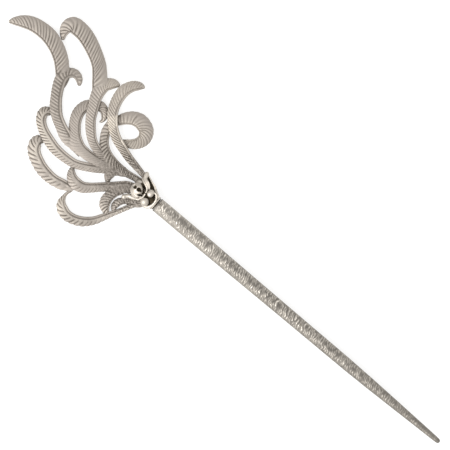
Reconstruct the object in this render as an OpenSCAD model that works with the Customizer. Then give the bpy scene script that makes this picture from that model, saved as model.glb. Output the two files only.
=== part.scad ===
// Hair stick with a pierced spray of curling feather plumes, a scroll knot and a long tapered shaft.
// The shaft's axis is X, from the knot to the tip, and the front of the spray looks up, along +Z.
// The origin is the middle of the shaft's shoulder, where it leaves the knot.
// The flat back of the spray lies on z = -shaft_d / 2, level with the underside of the shaft.

/* [Shaft] */
// Length of the shaft from its shoulder to its tip
shaft_l = 123; // [110:0.2:140]
// Diameter of the shaft beside the knot
shaft_d = 5.1; // [4.6:0.1:5.4]
// Length of the straight stretch before the taper
shaft_straight = 20; // [10:1:30]
// Diameter of the blunt tip
tip_d = 1.6; // [1:0.1:2]
// Diameter of the tang that the shaft carries inside the spray
tang_d = 1.8; // [1.6:0.1:2]
// Length of the tang behind the shaft's shoulder
tang_l = 8; // [5:0.5:9]

/* [Plumes] */
// Distance between neighbouring barbs along a plume
barb_pitch = 1.45; // [1.4:0.05:2.5]
// How far a barb stands above the furrow beside it
barb_relief = 0.3; // [0.1:0.05:0.4]
// How far a barb leans towards the plume's tip, as a share of the plume's width
barb_lean = 0.8; // [0.3:0.1:1]
// Width of the smooth rib along a plume's inner edge
rib_w = 0.8; // [0.5:0.1:1]
// How far the rib stands out past a plume's tabled inner edge
rib_out = 0.35; // [0:0.05:0.5]
// How far the barbs stand out past a plume's tabled outer edge
barb_out = 0.15; // [0:0.05:0.3]
// Thickness that the narrowest plume starts from
blade_t = 1; // [0.9:0.1:1.2]
// Extra thickness for each millimetre of a plume's width
blade_swell = 0.22; // [0.1:0.02:0.24]

/* [Knot] */
// Height of the boss above the shaft's axis
boss_top = 3; // [2.8:0.1:3.4]
// Diameter of the boss with the three hollows
boss_d = 5.4; // [5:0.1:5.8]
// Depth of the hollows
hollow_depth = 0.9; // [0.5:0.1:0.9]
// Gap between pieces that are pressed or pinned together
seat_gap = 0.1; // [0.08:0.01:0.15]

/* [Hidden] */

// The spray is drawn upright, with the shaft pointing down to the right by this angle,
// and the drawing's own origin is on the shaft's axis, this far behind the shoulder
drawing_lean = 40;
drawing_x = -1.4;
// The plane that the back of the spray lies on
back_z = -shaft_d / 2;
// The socket that takes the shaft's tang
socket_wall = 0.6;
socket_r = tang_d / 2 + socket_wall;
socket_l = tang_l + 1.4;
tang_chamfer = 0.3;
// The knot's underside, above the roots of the plumes
knot_base_z = -0.35;
collar_w = 0.9;
// Longer than the knot, for what is cut through it
knot_reach = 20;
bead_fn = 12;
ball_fn = 16;

// Columns of every plume's table, a row for each section from root to tip:
// place of the section's middle in the upright drawing, width across the plume, and lift of its back
X = 0;
Y = 1;
WIDTH = 2;
LIFT = 3;

TALL_OUTER = [
    [-30.5, 41.3, 4.0, 0.9], [-30.7, 44.9, 4.3, 1.0], [-31.1, 47.7, 4.5, 0.9], [-32.4, 51.3, 4.7, 0.7],
    [-34.8, 55.1, 4.9, 0.5], [-37.7, 57.7, 4.7, 0.3], [-40.8, 59.5, 4.4, 0.1], [-43.9, 60.3, 3.7, 0.0],
    [-46.8, 60.4, 2.2, 0.0], [-48.7, 60.1, 0.7, 0.0]];
HOOKED = [
    [-27.0, 18.7, 2.7, 0.0], [-28.5, 20.5, 3.5, 0.0], [-29.8, 22.5, 3.8, 0.0], [-31.0, 25.0, 3.4, 0.1],
    [-32.3, 28.3, 3.4, 0.2], [-32.8, 31.7, 3.7, 0.4], [-32.6, 35.0, 3.5, 0.6], [-32.1, 38.3, 3.6, 0.7],
    [-31.2, 41.2, 3.7, 0.8], [-29.7, 42.8, 3.4, 0.8], [-27.8, 43.2, 2.9, 0.7], [-26.3, 42.8, 2.6, 0.6],
    [-25.4, 41.8, 2.3, 0.4], [-25.0, 40.4, 1.8, 0.2], [-25.1, 38.7, 0.8, 0.0]];
MIDDLE_LEFT = [
    [-10.7, 9.7, 2.0, 0.0], [-14.3, 11.2, 3.0, 0.0], [-18.0, 12.8, 3.3, 0.0], [-21.6, 15.0, 3.3, 0.0],
    [-24.3, 17.2, 3.5, 0.0], [-26.0, 19.3, 4.2, 0.0], [-26.7, 21.7, 4.0, 0.0], [-26.7, 24.0, 3.6, 0.0],
    [-26.5, 26.7, 3.5, 0.0], [-25.8, 29.1, 3.6, 0.0], [-24.6, 30.9, 3.5, 0.0], [-22.8, 32.1, 3.4, 0.0],
    [-20.6, 32.3, 3.3, 0.0], [-18.4, 32.1, 3.3, 0.0], [-17.1, 31.2, 2.8, 0.0], [-16.5, 29.7, 2.2, 0.0],
    [-16.7, 28.1, 1.6, 0.0], [-17.3, 27.1, 1.0, 0.0], [-18.3, 26.6, 0.5, 0.0]];
CENTRE = [
    [-11.3, 10.7, 2.3, 0.0], [-14.7, 13.2, 2.7, 0.1], [-17.5, 15.4, 2.7, 0.2], [-19.6, 18.1, 2.6, 0.4],
    [-20.8, 20.7, 2.7, 0.7], [-21.3, 24.0, 3.0, 0.9], [-21.3, 27.3, 3.0, 1.1], [-20.8, 30.0, 3.2, 1.2],
    [-20.2, 32.3, 3.2, 1.2], [-19.6, 34.7, 3.6, 1.1], [-18.4, 37.2, 4.0, 1.0], [-16.6, 39.0, 3.8, 0.8],
    [-14.4, 39.5, 3.3, 0.6], [-12.8, 39.3, 2.3, 0.5], [-11.5, 38.7, 0.7, 0.5]];
TALL_INNER = [
    [-18.7, 36.3, 3.7, 0.8], [-18.1, 39.3, 4.7, 0.8], [-18.1, 42.3, 4.5, 0.8], [-18.4, 45.7, 4.4, 0.7],
    [-19.6, 49.3, 4.5, 0.6], [-21.8, 53.8, 4.9, 0.5], [-24.2, 57.0, 5.1, 0.5], [-27.0, 59.0, 5.1, 0.5],
    [-29.3, 58.2, 4.0, 0.5], [-30.4, 56.2, 2.2, 0.4], [-30.6, 54.0, 0.8, 0.4]];
FRONT = [
    [-2.3, 7.0, 1.7, 0.0], [-4.7, 9.5, 2.2, 0.1], [-6.9, 12.2, 2.6, 0.3], [-8.9, 14.8, 2.7, 0.7],
    [-10.6, 17.5, 2.7, 1.1], [-12.4, 20.6, 2.8, 1.4], [-13.5, 23.7, 2.8, 1.5], [-14.0, 26.8, 3.0, 1.5],
    [-13.9, 29.8, 3.1, 1.4], [-13.2, 32.4, 3.3, 1.2], [-11.9, 35.0, 3.5, 0.9], [-10.0, 37.3, 3.6, 0.7],
    [-7.5, 38.6, 3.2, 0.5], [-5.4, 38.8, 2.6, 0.3], [-4.1, 38.5, 1.7, 0.2], [-3.2, 38.0, 0.6, 0.2]];
LOOP = [
    [-4.3, 6.7, 1.7, 0.0], [-7.9, 8.4, 2.4, 0.0], [-11.0, 10.4, 3.5, 0.0], [-14.0, 12.8, 3.7, 0.1],
    [-15.9, 15.6, 3.2, 0.2], [-16.7, 18.2, 2.8, 0.3], [-16.8, 20.8, 2.6, 0.3], [-16.2, 23.5, 2.7, 0.2],
    [-14.8, 25.7, 2.7, 0.1], [-13.2, 26.9, 2.7, 0.0], [-11.5, 27.4, 3.0, 0.0], [-9.2, 28.0, 3.7, 0.0],
    [-6.6, 27.9, 4.3, 0.0], [-4.2, 26.6, 4.7, 0.0], [-2.6, 23.9, 4.5, 0.0], [-3.2, 21.1, 4.0, 0.0],
    [-5.3, 19.5, 3.3, 0.0], [-7.7, 19.2, 2.7, 0.1], [-9.5, 19.6, 2.0, 0.2], [-11.0, 20.3, 1.0, 0.3]];
SIDE_LEFT = [
    [-9.7, 9.0, 1.3, 0.0], [-13.3, 10.1, 2.3, 0.0], [-16.7, 10.9, 2.7, 0.0], [-19.8, 11.1, 2.6, 0.0],
    [-23.3, 11.7, 2.6, 0.0], [-26.8, 12.7, 2.7, 0.1], [-30.3, 15.0, 3.0, 0.2], [-33.2, 17.6, 3.3, 0.3],
    [-35.3, 20.5, 3.3, 0.3], [-36.8, 23.2, 3.0, 0.2], [-37.7, 25.6, 2.9, 0.1], [-37.9, 27.9, 3.0, 0.0],
    [-37.3, 29.9, 3.1, 0.0], [-35.9, 30.8, 2.3, 0.0], [-34.5, 30.3, 0.8, 0.1]];
LOWER_LEFT = [
    [-27.0, 3.8, 1.3, 0.0], [-28.2, 4.7, 2.3, 0.0], [-30.6, 5.6, 3.3, 0.0], [-33.6, 7.1, 3.5, 0.0],
    [-36.0, 9.1, 3.8, 0.0], [-38.0, 11.5, 3.9, 0.0], [-39.4, 14.1, 3.9, 0.0], [-40.2, 16.4, 3.9, 0.0],
    [-40.2, 18.5, 3.9, 0.0], [-39.3, 20.2, 3.7, 0.0], [-37.9, 20.7, 2.7, 0.0], [-36.6, 20.2, 1.0, 0.1]];
LEVEL = [
    [-7.0, 4.5, 3.0, 0.0], [-9.3, 4.8, 3.7, 0.0], [-12.0, 4.8, 3.4, 0.0], [-15.0, 4.9, 2.8, 0.0],
    [-18.0, 4.8, 2.7, 0.0], [-21.3, 4.6, 2.9, 0.0], [-24.1, 4.8, 3.4, 0.1], [-26.2, 6.0, 3.7, 0.3],
    [-27.5, 8.0, 3.1, 0.3], [-27.7, 10.1, 2.0, 0.2], [-27.1, 12.0, 0.6, 0.1]];
BOTTOM = [
    [-4.0, -0.7, 2.0, 0.0], [-7.0, -1.2, 1.5, 0.0], [-9.5, -2.1, 1.5, 0.0], [-11.8, -3.1, 1.6, 0.0],
    [-14.2, -4.1, 1.7, 0.0], [-17.2, -5.3, 2.0, 0.0], [-20.3, -6.4, 2.4, 0.0], [-23.8, -6.7, 2.9, 0.0],
    [-26.9, -6.0, 3.1, 0.0], [-29.4, -4.5, 3.3, 0.0], [-30.8, -2.4, 3.3, 0.0], [-31.1, -0.3, 2.5, 0.0],
    [-30.3, 1.6, 1.2, 0.0], [-29.2, 2.9, 0.8, 0.0], [-27.7, 3.8, 0.8, 0.0]];
FINGER = [
    [-10.7, 4.2, 2.7, 0.0], [-13.0, 3.5, 2.8, 0.0], [-14.8, 2.3, 3.1, 0.0], [-16.2, 0.7, 3.3, 0.1],
    [-16.7, -1.2, 3.1, 0.1], [-16.3, -2.8, 2.2, 0.1], [-15.4, -4.3, 0.7, 0.1]];
CURL = [
    [-4.4, -0.1, 2.2, 0.0], [-7.2, -0.1, 2.2, 0.0], [-9.5, 0.0, 2.0, 0.0], [-10.9, -0.1, 1.8, 0.0], [-12.2, -0.4, 1.7, 0.0], [-13.4, -1.4, 1.5, 0.0],
    [-13.6, -2.5, 1.2, 0.0], [-13.0, -3.5, 0.7, 0.0]];
SPUR = [
    [-13.9, 11.0, 3.1, 0.0], [-15.2, 9.0, 2.9, 0.0], [-15.6, 7.5, 1.7, 0.0], [-15.5, 6.0, 0.8, 0.0]];

// Columns of the roots' table: one end and the other of each arm that carries plumes to the socket, and radii there
ARMS = [
    [[-3.0, 3.0], [-3.6, 7.2], 1.2, 1.0],
    [[-4.5, 4.0], [-6.0, 7.8], 1.2, 1.1],
    [[-6.0, 7.8], [-10.5, 10.5], 1.1, 1.4],
    [[-10.5, 10.5], [-14.5, 12.2], 1.4, 1.4],
    [[-14.5, 12.2], [-18.0, 13.2], 1.4, 1.2],
    [[-4.0, 4.0], [-10.0, 4.8], 1.5, 1.4],
    [[-10.0, 4.8], [-14.0, 4.6], 1.4, 1.0],
    [[-2.0, 2.0], [-4.5, -0.6], 1.2, 0.8],
    [[-4.5, -0.6], [-8.5, -0.8], 0.8, 0.8]];
arm_t = 1.2;

// Columns of the knot's strands: place in the upright drawing, height above the shaft's axis, and radius
PETAL = [[-2.6, 9.2, 0.7, 1.0], [-2.7, 7.7, 1.1, 1.0], [-2.3, 6.0, 1.5, 0.95], [-1.9, 4.3, 1.8, 0.8]];
PETAL_RIM = [[-4.1, 8.4, 0.8, 0.4], [-3.7, 7.0, 1.5, 0.35], [-3.0, 5.6, 2.1, 0.35], [-2.2, 3.5, 2.3, 0.4]];
OUTER_RIM = [
    [-1.9, 8.5, 0.2, 0.4], [-1.1, 7.1, 0.5, 0.4], [-0.2, 5.4, 0.8, 0.4], [0.7, 3.5, 1.0, 0.45],
    [1.3, 2.0, 1.1, 0.45]];
SCROLL = [
    [0.5, 2.7, 1.8, 0.4], [0.5, 0.9, 1.9, 0.45], [-0.2, -0.8, 1.8, 0.45], [-1.2, -1.9, 1.6, 0.45],
    [-2.5, -2.1, 1.5, 0.45], [-3.7, -1.5, 1.5, 0.5], [-4.3, -0.3, 1.6, 0.5]];
LEAF = [[-9.7, 1.5, 0.4, 0.9], [-8.6, 1.8, 0.4, 0.8], [-7.2, 1.6, 0.6, 0.85], [-5.7, 1.1, 1.0, 0.6],
    [-4.3, 1.2, 1.5, 0.5]];
// The bead, the ball of the scroll and the ball at the leaf's end, in the same columns
BEADS = [[-0.8, 3.0, 1.7, 1.3], [-3.2, 0.4, 1.3, 1.4], [-9.8, 1.5, 0.5, 1]];
// Columns of the mound that the strands stand on: place, radius, and height above the shaft's axis
MOUND = [
    [-2.4, 8.6, 0.6, 0.3], [-0.7, 6.4, 0.5, 0.4], [0.9, 3.0, 0.5, 0.6], [0.6, 0.4, 0.5, 0.8], [-1.2, -1.3, 0.6, 0.7],
    [-3.4, -1.0, 0.6, 0.7], [-4.4, 4.5, 0.5, 0.7], [-2.0, 5.0, 0.5, 1.4], [-0.6, 2.6, 0.8, 2.0], [-0.9, 0.8, 0.8, 2.0],
    [-3.0, 1.4, 0.8, 2.0]];
// The boss: its place, and the radius of its shoulder
BOSS = [-5, 4.2];
boss_shoulder = 1;
// Columns of the hollows: middle in the upright drawing, radius, length along the drawing's X, and turn
HOLLOWS = [[-6.4, 5.2, 0.6, 0.2, 20], [-4.8, 3.7, 0.6, 0.7, -35], [-4.7, 2.3, 0.32, 1.5, 0], [-3.2, 4.5, 0.4, 2, -72]];

// Rows are clamped at both ends of a table
function row(rows, i) = rows[max(0, min(len(rows) - 1, i))];

// A smooth curve through the rows of a table, at row number t
function smooth(rows, t) =
    let (i = min(floor(t), len(rows) - 2), f = t - i,
        a = row(rows, i - 1), b = row(rows, i), c = row(rows, i + 1), d = row(rows, i + 2))
    b + 0.5 * f * (c - a + f * (2 * a - 5 * b + 4 * c - d + f * (3 * (b - c) + d - a)));

function gap_between(a, b) = norm([a[X] - b[X], a[Y] - b[Y]]);

// Distance along the table at each row, paired with the row's number
function distances(rows) = [
    for (i = 0, s = 0; i < len(rows); s = s + gap_between(rows[i], row(rows, i + 1)), i = i + 1) [s, i]];

function blade_height(w) = blade_t + blade_swell * w;

// Across a plume: share of the width from the rib's edge, and share of the blade's height
function profile(w, ridge) =
    let (rib = min(rib_w, 0.35 * w) / w, sink = ridge ? 0 : barb_relief / blade_height(w))
    [[0, 0], [0, 0.62], [rib / 2, 1.04], [rib, 0.66], [0.56, 1 - sink], [ridge ? 1 : 0.95, 0.6 - sink / 2],
        [ridge ? 1 : 0.95, 0]];

// One ring of points across the plume at distance s, leaning towards the tip away from the rib
function ring(rows, far, s, ridge, side) =
    let (length = far[len(far) - 1][0], here = smooth(rows, lookup(s, far)),
        lean = min(barb_lean * here[WIDTH], (length - s) / 2, s))
    [for (p = profile(max(here[WIDTH], 0.4), ridge))
        let (d = s + lean * p[0], step = 0.1,
            at = smooth(rows, lookup(d, far)),
            ahead = smooth(rows, lookup(d + step, far)), behind = smooth(rows, lookup(d - step, far)),
            along = [ahead[X] - behind[X], ahead[Y] - behind[Y]],
            grow = min(1, at[WIDTH] / 2), rib_edge = at[WIDTH] / 2 + rib_out * grow, barb_edge = at[WIDTH] / 2 + barb_out * grow,
            out = [-along[1], along[0]] / norm(along) * side * (rib_edge - p[0] * (rib_edge + barb_edge)),
            z = back_z + at[LIFT] + p[1] * blade_height(at[WIDTH]))
        [at[X] + out[0], at[Y] + out[1], z]];

// A plume swept along its table. The rib is on the left of the way from root to tip where side is 1.
module plume(rows, side) {
    far = distances(rows);
    length = far[len(far) - 1][0];
    rings = 2 * max(3, round(length / barb_pitch));
    across = 7;
    points = [for (i = [0 : rings]) each ring(rows, far, length * i / rings, i % 2 == 1, side)];
    walls = [for (i = [0 : rings - 1], j = [0 : across - 1])
        let (a = i * across + j, b = i * across + (j + 1) % across)
        each [[a, a + across, b + across], [a, b + across, b]]];
    root = [for (j = [0 : across - 1]) j];
    end = [for (j = [0 : across - 1]) rings * across + across - 1 - j];
    faces = concat([root], walls, [end]);
    polyhedron(points = points, faces = side > 0 ? faces : [for (f = faces) [for (k = [len(f) - 1 : -1 : 0]) f[k]]]);
}

// A round-ended arm between two places, lying on the back plane
module arm(from, to, r1, r2) {
    hull() {
        translate([from[X], from[Y], back_z]) cylinder(r1 = r1, r2 = r1 * 0.8, h = arm_t, $fn = 16);
        translate([to[X], to[Y], back_z]) cylinder(r1 = r2, r2 = r2 * 0.8, h = arm_t, $fn = 16);
    }
}

// A rounded strand through the rows of a table
module strand(rows) {
    for (i = [0 : len(rows) - 2]) {
        hull() {
            for (k = [i, i + 1]) {
                translate([rows[k][X], rows[k][Y], rows[k][2]]) sphere(r = rows[k][3], $fn = bead_fn);
            }
        }
    }
}

// Lays what is drawn upright in place beside the shaft
module drawn() {
    translate([drawing_x, 0, 0]) rotate([0, 0, drawing_lean]) children();
}

// Round along the shaft's axis, from x to x + length
module along_shaft(x, length, r) {
    translate([x, 0, 0]) rotate([0, 90, 0]) cylinder(r = r, h = length);
}

module stick() {
    tang_r = tang_d / 2;
    r = shaft_d / 2;
    tip_r = tip_d / 2;
    taper = shaft_l - shaft_straight;
    // Columns: share of the taper, and share of the way from the full radius to the tip's
    slope = [[0, 0], [0.18, 0.1], [0.36, 0.18], [0.6, 0.26], [0.7, 0.38], [0.8, 0.57], [0.88, 0.74], [0.96, 0.89]];
    color("#a39d96") rotate([0, 90, 0]) rotate_extrude($fn = 48)
        polygon(concat(
            [[0, -tang_l], [tang_r - tang_chamfer, -tang_l], [tang_r, tang_chamfer - tang_l], [tang_r, 0], [r, 0]],
            [for (p = slope) [r - (r - tip_r) * p[1], shaft_straight + taper * p[0]]],
            [for (a = [0 : 30 : 90]) [tip_r * cos(a), shaft_l - tip_r + tip_r * sin(a)]]));
}

module plume_spray() {
    color("#aea79d") difference() {
        union() {
            drawn() {
                plume(TALL_OUTER, 1);
                plume(HOOKED, -1);
                plume(MIDDLE_LEFT, -1);
                plume(CENTRE, -1);
                plume(TALL_INNER, 1);
                plume(FRONT, -1);
                plume(LOOP, -1);
                plume(SIDE_LEFT, -1);
                plume(LOWER_LEFT, -1);
                plume(LEVEL, -1);
                plume(BOTTOM, -1);
                plume(FINGER, 1);
                plume(CURL, 1);
                plume(SPUR, 1);
                for (a = ARMS) {
                    arm(a[0], a[1], a[2], a[3]);
                }
            }
            along_shaft(-seat_gap - socket_l, socket_l, socket_r, $fn = 24);
        }
        along_shaft(-tang_l - tang_chamfer, tang_l + 1, tang_d / 2 + seat_gap, $fn = 24);
    }
}

module scroll_knot() {
    color("#c9c4bb") difference() {
        union() {
            drawn() {
                mound();
                translate([BOSS[X], BOSS[Y], 0]) boss();
                strand(PETAL);
                strand(PETAL_RIM);
                strand(OUTER_RIM);
                strand(SCROLL);
                strand(LEAF);
                for (b = BEADS) {
                    translate([b[X], b[Y], b[2]]) sphere(r = b[3], $fn = ball_fn);
                }
            }
            along_shaft(-seat_gap - collar_w, collar_w, shaft_d / 2, $fn = 32);
        }
        along_shaft(-knot_reach, 2 * knot_reach, socket_r + seat_gap, $fn = 24);
        translate([-knot_reach, -knot_reach, knot_base_z - knot_reach]) cube([2, 2, 1] * knot_reach);
        drawn() {
            for (h = HOLLOWS) {
                translate([h[0], h[1], boss_top - hollow_depth]) rotate([0, 0, h[4]]) slot(h[2], h[3]);
            }
        }
    }
}

// The low mound under the strands
module mound() {
    hull() {
        for (m = MOUND) {
            translate([m[X], m[Y], knot_base_z]) cylinder(r = m[2], h = m[3] - knot_base_z, $fn = bead_fn);
        }
    }
}

// The boss: a drum with a rounded shoulder
module boss() {
    r = boss_d / 2;
    low = knot_base_z - boss_shoulder;
    rotate_extrude($fn = 32)
        polygon(concat([[0, low], [r, low]],
            [for (a = [0 : 22.5 : 90]) [r, boss_top] - boss_shoulder * [1 - cos(a), 1 - sin(a)]], [[0, boss_top]]));
}

// A round-ended slot, standing on z = 0
module slot(r, length) {
    hull() {
        for (s = [-1, 1]) {
            translate([s * length / 2, 0, 0]) cylinder(r = r, h = 4, $fn = 12);
        }
    }
}

stick();
plume_spray();
scroll_knot();
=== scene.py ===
import bmesh
import math

import bpy
import numpy as np
from mathutils import Matrix, Vector, noise


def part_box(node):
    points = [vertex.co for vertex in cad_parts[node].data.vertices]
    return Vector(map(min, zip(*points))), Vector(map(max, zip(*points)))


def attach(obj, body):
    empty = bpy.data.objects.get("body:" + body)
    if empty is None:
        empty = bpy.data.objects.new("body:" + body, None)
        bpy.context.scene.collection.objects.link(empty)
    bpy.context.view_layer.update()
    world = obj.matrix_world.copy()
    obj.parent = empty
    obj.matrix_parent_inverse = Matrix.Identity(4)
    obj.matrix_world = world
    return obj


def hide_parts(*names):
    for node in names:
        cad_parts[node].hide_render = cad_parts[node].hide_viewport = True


# A cast silver hair stick: a spray of curling feather plumes, a scroll knot and a hammered, tapered shaft.
# The shaft's axis is X, from the knot to the tip, and the front of the spray looks up, along +Z.
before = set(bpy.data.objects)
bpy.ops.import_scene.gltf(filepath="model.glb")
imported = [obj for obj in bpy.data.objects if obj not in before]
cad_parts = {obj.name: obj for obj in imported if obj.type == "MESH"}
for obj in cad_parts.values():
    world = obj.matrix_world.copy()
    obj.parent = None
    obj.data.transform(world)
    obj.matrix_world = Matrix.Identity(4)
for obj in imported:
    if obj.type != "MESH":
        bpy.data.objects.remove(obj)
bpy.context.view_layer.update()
bpy.ops.object.select_all(action="DESELECT")

MM = 0.001

# The spray is drawn upright in millimetres, with the shaft pointing down to the right by this angle, and the
# drawing's own origin is on the shaft's axis, this far behind the shoulder.
DRAWING_LEAN = math.radians(40)
DRAWING_X = -1.4

# The shaft in millimetres. Its tip, its radius and its tang's end come from the frame.
SHAFT_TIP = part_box("stick")[1][0] / MM
SHAFT_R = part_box("stick")[1][2] / MM
TANG_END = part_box("stick")[0][0] / MM
BACK_Z = -SHAFT_R
SHAFT_STRAIGHT = 20
SHOULDER_CHAMFER = 0.15
TANG_R = 0.9
TANG_CHAMFER = 0.3
TIP_R = 0.8
# The rings of the round tip, in degrees from its widest place, and the radius that the last one keeps
TIP_TURNS = [0, 25, 50, 70, 85, 90]
TIP_FLAT = 0.05
# Share of the taper, and share of the way from the full radius to the tip's
TAPER = [
    [0, 0], [0.18, 0.1], [0.36, 0.18], [0.6, 0.26], [0.7, 0.38], [0.8, 0.57], [0.88, 0.74], [0.96, 0.89],
    [1, 1]]
SHAFT_SIDES = 72
# Spacing of the rings that carry the crests
RING_STEP = 0.14
# The hammer's crests on the front of the shaft: spacing along the shaft, length across it, height, and how
# far a crest drifts along the shaft for each millimetre that it runs across it
CREST_PITCH = 0.8
CREST_L = 1.5
CREST_HEIGHT = 0.25
CREST_DRIFT = 0.4
# How far chance moves a crest, as a share of the spacing
CREST_WANDER = 0.9
# How whole a crest is on average, how much chance changes that, and the least that stays of it
CREST_WHOLE = 0.75
CREST_BREAK = 2.2
CREST_LEAST = 0.15
# A step to another place in the noise, so that crests move and break apart independently
ELSEWHERE = 9
# Places along the shaft, and how hard the hammer struck there
STRUCK_ALONG = [[0, 60, 105, 123], [1, 1, 0.35, 0.2]]
# How dull the struck shaft is between crest and furrow, and the level that its less struck sides keep as
# painted shade, how much the furrows add to that and the crests take away, and places along the shaft
# with what is added there
DULL = 0.75
DULL_FURROW = 0.2
DULL_CREST = 0.75
DULL_ALONG = [[0, 30, 45, 105], [-0.15, 0, 0, 0.08]]
# The shoulder's edge, in the groove against the knot's collar, stays dark, this dark and this far along.
# This is partly tarnish in the groove and partly painted shade where the collar shades it.
SHOULDER_DARK = 0.9
SHOULDER_DARK_W = 0.3

# The plumes' edges stand out past their tables' widths by this much, and less where a plume is narrower than
# the width given last
RIB_OUT = 0.35
BARB_OUT = 0.15
FULL_OUT_W = 2
# A blade's thickness, what it gains for each millimetre of width, and a plume's least width
BLADE_T = 1.0
BLADE_SWELL = 0.22
LEAST_W = 0.4
# The tip is rounded off over this length, of which the last ring keeps this share, and the blade thins
# there towards this share of its thickness
TIP_ROUND = 0.5
TIP_LAST = 0.12
TIP_T = 0.5
# The rib, in shares: most of the width that it takes, points across it, height of its crest, where its crest
# is on it, and how far its sides drop
RIB_MOST = 0.35
RIB_POINTS = 9
RIB_TOP = 0.9
RIB_CREST = 0.4
RIB_DROP = 0.09
# The blade, in shares: points across it, height beside the rib, its rise and the width of that, its fall to
# the outer edge, where that starts, and the power that curves it
BLADE_POINTS = np.concatenate([[0.05, 0.12], np.linspace(0.2, 1, 12)])
BLADE_TOP = 0.86
BLADE_RISE = 0.11
BLADE_RISE_W = 0.12
BLADE_FALL = 0.22
BLADE_FALL_FROM = 0.35
BLADE_FALL_CURVE = 2.5
# The upright edges, in shares: how far in the flat back starts, and heights of the rib's foot and the outer
# edge's foot
FOOT_IN = 0.05
RIB_FOOT = 0.14
OUTER_FOOT = 0.16
# Barbs: rings for each, how far chance moves one as a share of the spacing, and the least and most of a
# furrow's depth that chance leaves
RINGS_PER_BARB = 8
BARB_WANDER = 0.09
FURROW_CHANCE = [0.75, 1.15]
# A furrow reaches its depth over this share of the blade, and over more where the blade has a smooth part.
# Near the outer edge it gets this much shallower.
FURROW_RAMP = 0.06
SMOOTH_RAMP = 0.7
FURROW_FADE = 0.35
# A plume is cut less deeply where it is narrow: the width where the depth would be nothing, what it takes to
# reach the full depth from there, and the least share of the depth
SHALLOW_W = 0.7
SHALLOW_TO_FULL = 1.4
SHALLOW_LEAST = 0.3
# Shares of a plume's length between which depth and lean go from the root's value to the tip's
DEPTH_SPAN = [0.3, 0.7]
LEAN_SPAN = [0.15, 0.7]
# A barb that leans back near the root does so by at most this share of its distance from the root
LEAN_BACK = 0.6
# The direction of a plume is taken over this distance each way
LOOK_AROUND = 0.1
# The rough skin round the boss: how far it goes, over what distance it fades, its height and its grain, and
# the share of the thickness above which a point belongs to the top
ROUGH_REACH = 15
ROUGH_FADE = 5
ROUGH_HEIGHT = 0.22
ROUGH_GRAIN = 0.5
TOP_FROM = 0.6

# The socket inside the spray that holds the shaft's tang, and the room behind the tang
SEAT_GAP = 0.1
SOCKET_R = 1.5
SOCKET_L = 9.4
TANG_ROOM = 0.3
# Both bores are cut on to here, past their mouths
SOCKET_CUT_TO = 1
KNOT_CUT_TO = 10
# An edge shorter than this is one that cutting has left by chance
NO_LENGTH = 0.0002

# Sections of the plumes from root to tip: middle of the section in the upright drawing, width, and lift of
# its back
TALL_OUTER = [
    [-31.3, 38.0, 1.8, 0.0], [-30.5, 41.3, 4.0, 0.2], [-30.7, 44.9, 4.3, 0.8], [-31.1, 47.7, 4.5, 0.9],
    [-32.4, 51.3, 4.7, 0.7], [-34.8, 55.1, 4.9, 0.5], [-37.7, 57.7, 4.7, 0.3], [-40.8, 59.5, 4.4, 0.1],
    [-43.9, 60.3, 3.7, 0.0], [-46.8, 60.4, 2.2, 0.0], [-48.7, 60.1, 0.7, 0.0]]
HOOKED = [
    [-24.6, 15.6, 1.6, 0.0], [-27.1, 18.7, 2.7, 0.0], [-28.7, 20.5, 3.5, 0.0], [-30.0, 22.5, 3.8, 0.0],
    [-31.2, 25.0, 3.4, 0.1], [-32.5, 28.3, 3.4, 0.2], [-33.0, 31.7, 3.7, 0.4], [-32.8, 35.0, 3.5, 0.6],
    [-32.2, 38.3, 3.6, 0.7], [-31.2, 41.2, 3.7, 0.8], [-29.7, 42.8, 3.4, 0.8], [-27.8, 43.2, 2.9, 0.7],
    [-26.3, 42.8, 2.6, 0.6], [-25.4, 41.8, 2.3, 0.4], [-25.0, 40.4, 1.8, 0.2], [-25.1, 38.7, 0.8, 0.0]]
MIDDLE_LEFT = [
    [-10.7, 9.7, 2.0, 0.0], [-14.3, 11.2, 3.0, 0.0], [-18.0, 12.8, 3.3, 0.0], [-21.6, 15.0, 3.3, 0.0],
    [-24.3, 17.2, 3.5, 0.0], [-26.0, 19.3, 4.2, 0.0], [-26.7, 21.7, 4.0, 0.0], [-26.7, 24.0, 3.6, 0.0],
    [-26.5, 26.7, 3.5, 0.0], [-25.8, 29.1, 3.6, 0.0], [-24.6, 30.9, 3.5, 0.0], [-22.8, 32.1, 3.4, 0.0],
    [-20.6, 32.3, 3.3, 0.0], [-18.4, 32.1, 3.3, 0.0], [-17.1, 31.2, 2.8, 0.0], [-16.5, 29.7, 2.2, 0.0],
    [-16.7, 28.1, 1.6, 0.0], [-17.3, 27.1, 1.0, 0.0], [-18.3, 26.6, 0.5, 0.0]]
CENTRE = [
    [-11.3, 10.7, 2.3, 0.0], [-14.7, 13.2, 2.7, 0.1], [-17.5, 15.4, 2.7, 0.2], [-19.6, 18.1, 2.6, 0.4],
    [-20.8, 20.7, 2.7, 0.7], [-21.3, 24.0, 3.0, 0.9], [-21.3, 27.3, 3.0, 1.1], [-20.8, 30.0, 3.2, 1.2],
    [-20.2, 32.3, 3.2, 1.2], [-19.6, 34.7, 3.6, 1.1], [-18.4, 37.2, 4.0, 1.0], [-16.6, 39.0, 3.8, 0.8],
    [-14.4, 39.5, 3.3, 0.6], [-12.8, 39.3, 2.3, 0.5], [-11.5, 38.7, 0.7, 0.5]]
TALL_INNER = [
    [-19.9, 33.6, 2.2, 0.4], [-18.7, 36.3, 3.7, 0.6], [-18.1, 39.3, 4.7, 0.8], [-18.1, 42.3, 4.5, 0.8],
    [-18.4, 45.7, 4.4, 0.7], [-19.6, 49.3, 4.5, 0.6], [-21.8, 53.8, 4.9, 0.5], [-24.2, 57.0, 5.1, 0.5],
    [-27.0, 59.0, 5.1, 0.5], [-29.3, 58.2, 4.0, 0.5], [-30.4, 56.2, 2.2, 0.4], [-30.6, 54.0, 0.8, 0.4]]
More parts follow.
